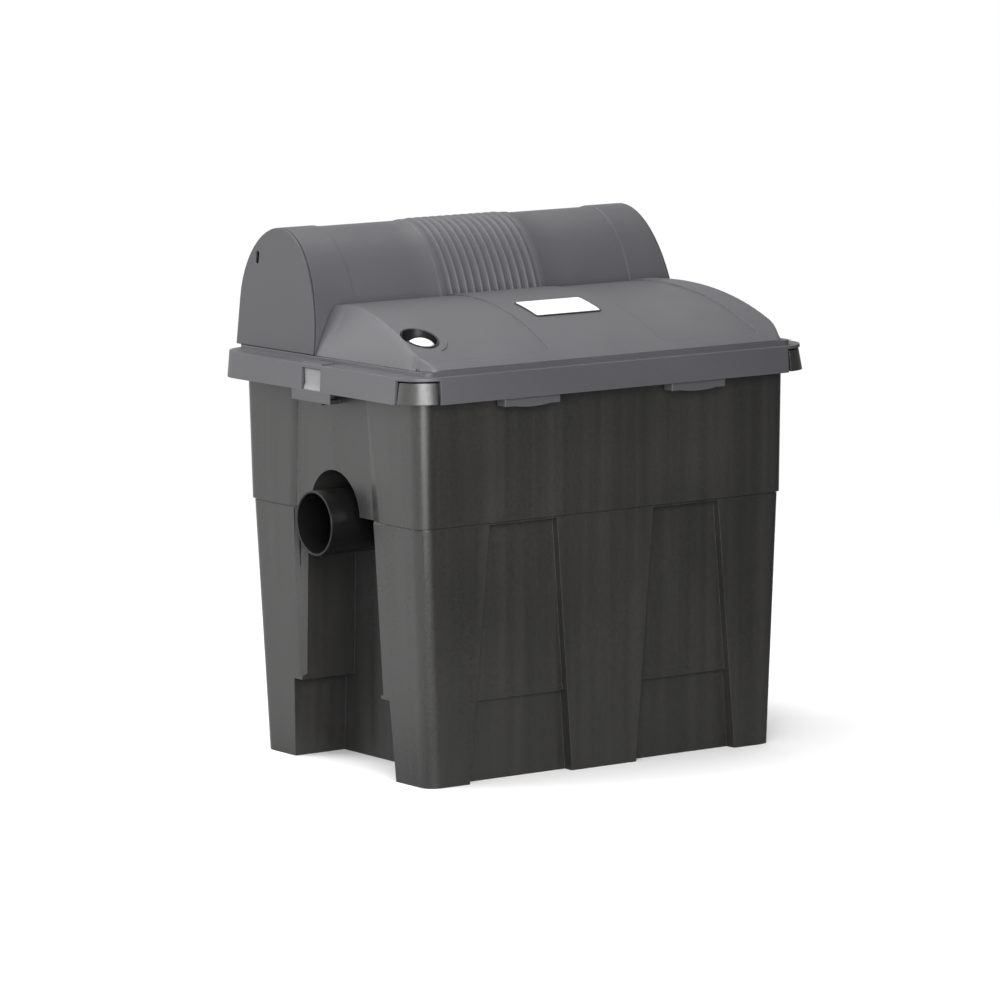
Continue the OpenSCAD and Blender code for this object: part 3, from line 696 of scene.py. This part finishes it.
def hood_solid(name, inset, floor):
    """A closed block under the hood's surface, down to floor."""
    fine_from = 138
    xs = [i * COARSE_STEP for i in range(COARSE_COUNT)]
    xs += [fine_from + FINE_STEP * i for i in range(1, FINE_COUNT)]
    xs = [-x for x in reversed(xs[1:])] + xs
    front = HOOD_FRONT + inset
    ys = [front + (HOOD_BACK - HOOD_FRONT - inset) * i / HOOD_ROWS for i in range(HOOD_ROWS + 1)]
    count = len(xs)
    top = [mm(x, y, max(hood_height(x, y, inset), floor + 0.1)) for y in ys for x in xs]
    low = [mm(x, y, floor) for y in ys for x in xs]
    faces = []
    base = len(top)
    for r in range(len(ys) - 1):
        for c in range(count - 1):
            a = r * count + c
            faces.append((a, a + 1, a + count + 1, a + count))
            faces.append((base + a, base + a + count, base + a + count + 1, base + a + 1))
    for c in range(count - 1):
        last = (len(ys) - 1) * count + c
        faces.append((c, base + c, base + c + 1, c + 1))
        faces.append((last, last + 1, base + last + 1, base + last))
    for r in range(len(ys) - 1):
        a = r * count
        b = a + count - 1
        faces.append((a, a + count, base + a + count, base + a))
        faces.append((b, base + b, base + b + count, b + count))
    return piece_from(name, top + low, faces)


def rounded_outline(corners):
    """Corner points (x, y, radius) as an outline with round corners."""
    points = []
    count = len(corners)
    for i, (x, y, r) in enumerate(corners):
        here = Vector((x, y))
        before = (Vector(corners[i - 1][:2]) - here).normalized()
        after = (Vector(corners[(i + 1) % count][:2]) - here).normalized()
        half = before.angle(after) / 2
        reach = r / math.tan(half)
        start = here + before * reach
        stop = here + after * reach
        for step in range(7):
            t = step / 6
            points.append(start * (1 - t) ** 2 + here * 2 * t * (1 - t) + stop * t ** 2)
    return points


def prism(name, first, second):
    """A closed prism between two outlines with the same number of points."""
    count = len(first)
    faces = [tuple(range(count - 1, -1, -1)), tuple(range(count, 2 * count))]
    faces += [(i, (i + 1) % count, count + (i + 1) % count, count + i) for i in range(count)]
    piece = piece_from(name, first + second, faces)
    outward(piece)
    return piece


def upright_prism(name, outline, z0, z1):
    return prism(name, [mm(p[0], p[1], z0) for p in outline], [mm(p[0], p[1], z1) for p in outline])


def dome_clearance(name, gap):
    """A long prism in the dome's outline, grown by gap, that trims the hood's back."""
    outline = [(y + ny * gap, z + nz * gap) for y, z, ny, nz in dome_profile()]
    outline = [(outline[0][0], 300)] + outline + [(outline[-1][0], 300)]
    return prism(name, [mm(-200, y, z) for y, z in outline], [mm(200, y, z) for y, z in outline])


def build_hood(material):
    """The hood's shell with its two shallow panels, trimmed back, well and finger lip."""
    hood = hood_solid("hood_shell", 0, DECK_Z + 0.05)
    outward(hood)
    left = upright_prism("left", rounded_outline([(-44, 60, 2), (-50.2, -120.5, 9), (-153, -120.5, 9),
                                                  (-200, -96, 2), (-200, 60, 2)]), 300, 380)
    right = upright_prism("right", rounded_outline([(45, 60, 2), (54, -121, 9), (147.6, -121, 7),
                                                    (124, 60, 2)]), 300, 380)
    for panel in (left, right):
        low = hood_solid("low", HOOD_PANEL_DEPTH, 290)
        outward(low)
        boolean(panel, low, "DIFFERENCE")
        boolean(hood, panel, "DIFFERENCE")
    hollow = hood_solid("hollow", LID_T, 310)
    outward(hollow)
    boolean(hood, hollow, "DIFFERENCE")
    boolean(hood, dome_clearance("trim", 1.0), "DIFFERENCE")
    boolean(hood, cylinder("well", WELL_R, 120, (*WELL, 350), sides=72), "DIFFERENCE")
    scoop = cylinder("scoop", 60, 14, (5, 20, HOOD_AXIS_Z + HOOD_R + 58.8), (math.pi / 2, 0, 0), 360)
    boolean(hood, scoop, "DIFFERENCE")
    outward(hood)
    smooth(hood, 28)
    return dress(hood, "lid", "lid_grey", material, "front_hood")


MARK_R = 20.0
MARK_THICK = 0.85
MARK_FROM = -68
MARK_TO = -22


def build_index_mark(material):
    """A thin raised arc beside the well."""
    curve = bpy.data.curves.new("index_mark", "CURVE")
    curve.dimensions = "3D"
    curve.bevel_depth = MARK_THICK * MM
    curve.bevel_resolution = 3
    curve.use_fill_caps = True
    line = curve.splines.new("POLY")
    steps = 16
    line.points.add(steps)
    for i in range(steps + 1):
        a = math.radians(MARK_FROM + (MARK_TO - MARK_FROM) * i / steps)
        x, y = WELL[0] + MARK_R * math.cos(a), WELL[1] + MARK_R * math.sin(a)
        line.points[i].co = (*mm(x, y, hood_height(x, y, HOOD_PANEL_DEPTH) + 0.1), 1)
    mark = bpy.data.objects.new("index_mark", curve)
    SCENE.collection.objects.link(mark)
    select_only(mark)
    bpy.ops.object.convert(target="MESH")
    mark = bpy.context.active_object
    smooth(mark, 50)
    return dress(mark, "lid", "lid_grey", material)


LABEL_HALF = (29.9, 14.6)
LABEL_Y = -58
LABEL_CORNER = 2.2
LABEL_UNDER = 0.5
LABEL_OVER = 0.95
LABEL_STRIPS = 12


def build_label(material):
    """A blank white film on the grey plate, bent to the hood's curve."""
    half_x, half_y = LABEL_HALF
    signs = ((-1, -1), (1, -1), (1, 1), (-1, 1))
    outline = rounded_outline([(a * half_x, LABEL_Y + b * half_y, LABEL_CORNER) for a, b in signs])
    film = upright_prism("label_film", outline, 300, 301)
    select_only(film)
    bpy.ops.object.mode_set(mode="EDIT")
    bpy.ops.mesh.select_all(action="SELECT")
    for step in range(1, LABEL_STRIPS):
        y = (LABEL_Y - half_y + 2 * half_y * step / LABEL_STRIPS) * MM
        bpy.ops.mesh.bisect(plane_co=(0, y, 0), plane_no=(0, 1, 0))
        bpy.ops.mesh.select_all(action="SELECT")
    bpy.ops.object.mode_set(mode="OBJECT")
    for vertex in film.data.vertices:
        over = LABEL_OVER if vertex.co.z > 0.3005 else LABEL_UNDER
        lift = math.sqrt(((HOOD_R + over) * MM) ** 2 - vertex.co.y ** 2)
        vertex.co.z = HOOD_AXIS_Z * MM + lift
    smooth(film, 30)
    return dress(film, "lid", "label_white", material)


# ---- Foam ----

CARTRIDGES = ("left", "middle", "right")
FOAM_INSET = 0.0012
FOAM_ROUND = 0.0022
FOAM_CUTS = 24
CELL_SIZE = 0.006
CELL_DEPTH = 0.0022


def foam_piece(name, node, material, slot):
    """A cut foam block with soft corners and a surface broken up by its cells."""
    low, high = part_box(node)
    size = high - low - Vector((FOAM_INSET, FOAM_INSET, FOAM_INSET)) * 2
    deselect_all()
    bpy.ops.mesh.primitive_cube_add(size=1, location=(low + high) / 2)
    block = bpy.context.active_object
    block.name = name
    block.scale = size
    settle(block)
    select_only(block)
    bpy.ops.object.mode_set(mode="EDIT")
    bpy.ops.mesh.select_all(action="SELECT")
    bpy.ops.mesh.bevel(offset=FOAM_ROUND, segments=2, affect="EDGES")
    bpy.ops.mesh.select_all(action="SELECT")
    bpy.ops.mesh.subdivide(number_cuts=FOAM_CUTS)
    bpy.ops.object.mode_set(mode="OBJECT")
    cells = bpy.data.textures.new(name + "_cells", "VORONOI")
    cells.noise_scale = CELL_SIZE
    lift = block.modifiers.new("cells", "DISPLACE")
    lift.texture = cells
    lift.texture_coords = "LOCAL"
    lift.strength = CELL_DEPTH
    lift.mid_level = 0.5
    apply_modifiers(block)
    smooth(block, 60)
    return dress(block, "tank_body", slot, material, node)


def build_foam(materials):
    foam_piece("front_foam", "foam_coarse", materials["foam_blue"], "foam_blue")
    foam_piece("middle_foam", "foam_fine", materials["foam_red"], "foam_red")
    for side in CARTRIDGES:
        node = "foam_block_" + side
        block = foam_piece("cartridge_foam_" + side, node, materials["foam_blue"], "foam_blue")
        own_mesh(block)


# ---- Studio ----


def area_light(name, place, aim, size, power):
    data = bpy.data.lights.new(name, "AREA")
    data.shape = "RECTANGLE"
    data.size, data.size_y = size
    data.energy = power
    lamp = bpy.data.objects.new(name, data)
    SCENE.collection.objects.link(lamp)
    lamp.location = place
    lamp.rotation_euler = (Vector(aim) - Vector(place)).to_track_quat("-Z", "Y").to_euler()


FLOOR_SIZE = 14
FLOOR_CLEAR = 0.35
FLOOR_GONE = 1.6
BRIGHT_SIDE = (-0.66, 0.64, 0.40)
SKY_DARK = 0.10
SKY_BRIGHT = 0.86
FLOOR_DARK = (0.04, 0.04, 0.04, 1)
FLOOR_BRIGHT = (0.45, 0.45, 0.45, 1)
LIGHTS = (
    ("left_softbox", (-2.1, 1.7, 1.5), (0, 0, 0.25), (2.2, 2.0), 40),
    ("top_softbox", (-0.3, 0.3, 2.5), (0, 0, 0.3), (2.4, 2.4), 47),
    ("front_fill", (-0.7, -1.3, 0.6), (-0.05, 0, 0.2), (0.9, 0.9), 25),
)


def build_studio():
    """A white backdrop, a floor that fades out and, for all rays but the camera's, is painted dark towards
    the front right, and light that falls off from the left to the right.
    """
    SCENE.view_settings.view_transform = "Standard"
    world = bpy.data.worlds.new("studio")
    SCENE.world = world
    world.use_nodes = True
    tree = world.node_tree
    soft = tree.nodes["Background"]
    towards = tree.nodes.new("ShaderNodeVectorMath")
    towards.operation = "DOT_PRODUCT"
    tree.links.new(tree.nodes.new("ShaderNodeTexCoord").outputs["Generated"], towards.inputs[0])
    towards.inputs[1].default_value = BRIGHT_SIDE
    tree.links.new(spread(tree, towards.outputs["Value"], -0.7, 0.7, SKY_DARK, SKY_BRIGHT),
                   soft.inputs["Strength"])
    soft.inputs["Color"].default_value = (1.0, 1.0, 1.0, 1)
    white = tree.nodes.new("ShaderNodeBackground")
    white.inputs["Color"].default_value = (1.0, 1.0, 1.0, 1)
    white.inputs["Strength"].default_value = 1.0
    path = tree.nodes.new("ShaderNodeLightPath")
    choose = tree.nodes.new("ShaderNodeMixShader")
    tree.links.new(path.outputs["Is Camera Ray"], choose.inputs[0])
    tree.links.new(soft.outputs[0], choose.inputs[1])
    tree.links.new(white.outputs[0], choose.inputs[2])
    tree.links.new(choose.outputs[0], tree.nodes["World Output"].inputs[0])

    deselect_all()
    bpy.ops.mesh.primitive_plane_add(size=FLOOR_SIZE, location=(0, 0, 0))
    floor = bpy.context.active_object
    floor.name = "studio_floor"
    material, tree, shader = new_material("pale_floor")
    place = object_place(tree)
    shade = noise(tree, place, 3, 2, 0.5)
    pale = mix_colour(tree, shade, (0.93, 0.93, 0.93, 1), (0.95, 0.95, 0.95, 1))
    # painted shade: to all rays but the camera's the floor is dark away from the bright side, which darkens
    # the reflections on the tank's front
    seen = tree.nodes.new("ShaderNodeLightPath").outputs["Is Camera Ray"]
    side = tree.nodes.new("ShaderNodeVectorMath")
    side.operation = "DOT_PRODUCT"
    tree.links.new(place, side.inputs[0])
    side.inputs[1].default_value = BRIGHT_SIDE
    share = spread(tree, side.outputs["Value"], -0.45, 0.35, 0.0, 1.0)
    painted_floor_shade = mix_colour(tree, share, FLOOR_DARK, FLOOR_BRIGHT)
    tree.links.new(mix_colour(tree, seen, painted_floor_shade, pale), shader.inputs["Base Color"])
    shader.inputs["Roughness"].default_value = 0.9
    far = tree.nodes.new("ShaderNodeVectorMath")
    far.operation = "LENGTH"
    tree.links.new(place, far.inputs[0])
    tree.links.new(spread(tree, far.outputs["Value"], FLOOR_CLEAR, FLOOR_GONE, 1.0, 0.0),
                   shader.inputs["Alpha"])
    floor.data.materials.append(material)

    for name, place, aim, size, power in LIGHTS:
        area_light(name, place, aim, size, power)


# ---- The whole filter ----

add_camera()
MATERIALS = build_materials()
build_studio()
finish_nodes(MATERIALS)
build_dome(MATERIALS["lid_grey"])
build_dome_knuckles(MATERIALS["lid_grey"])
build_hood(MATERIALS["lid_grey"])
build_index_mark(MATERIALS["lid_grey"])
build_label(MATERIALS["label_white"])
build_foam(MATERIALS)
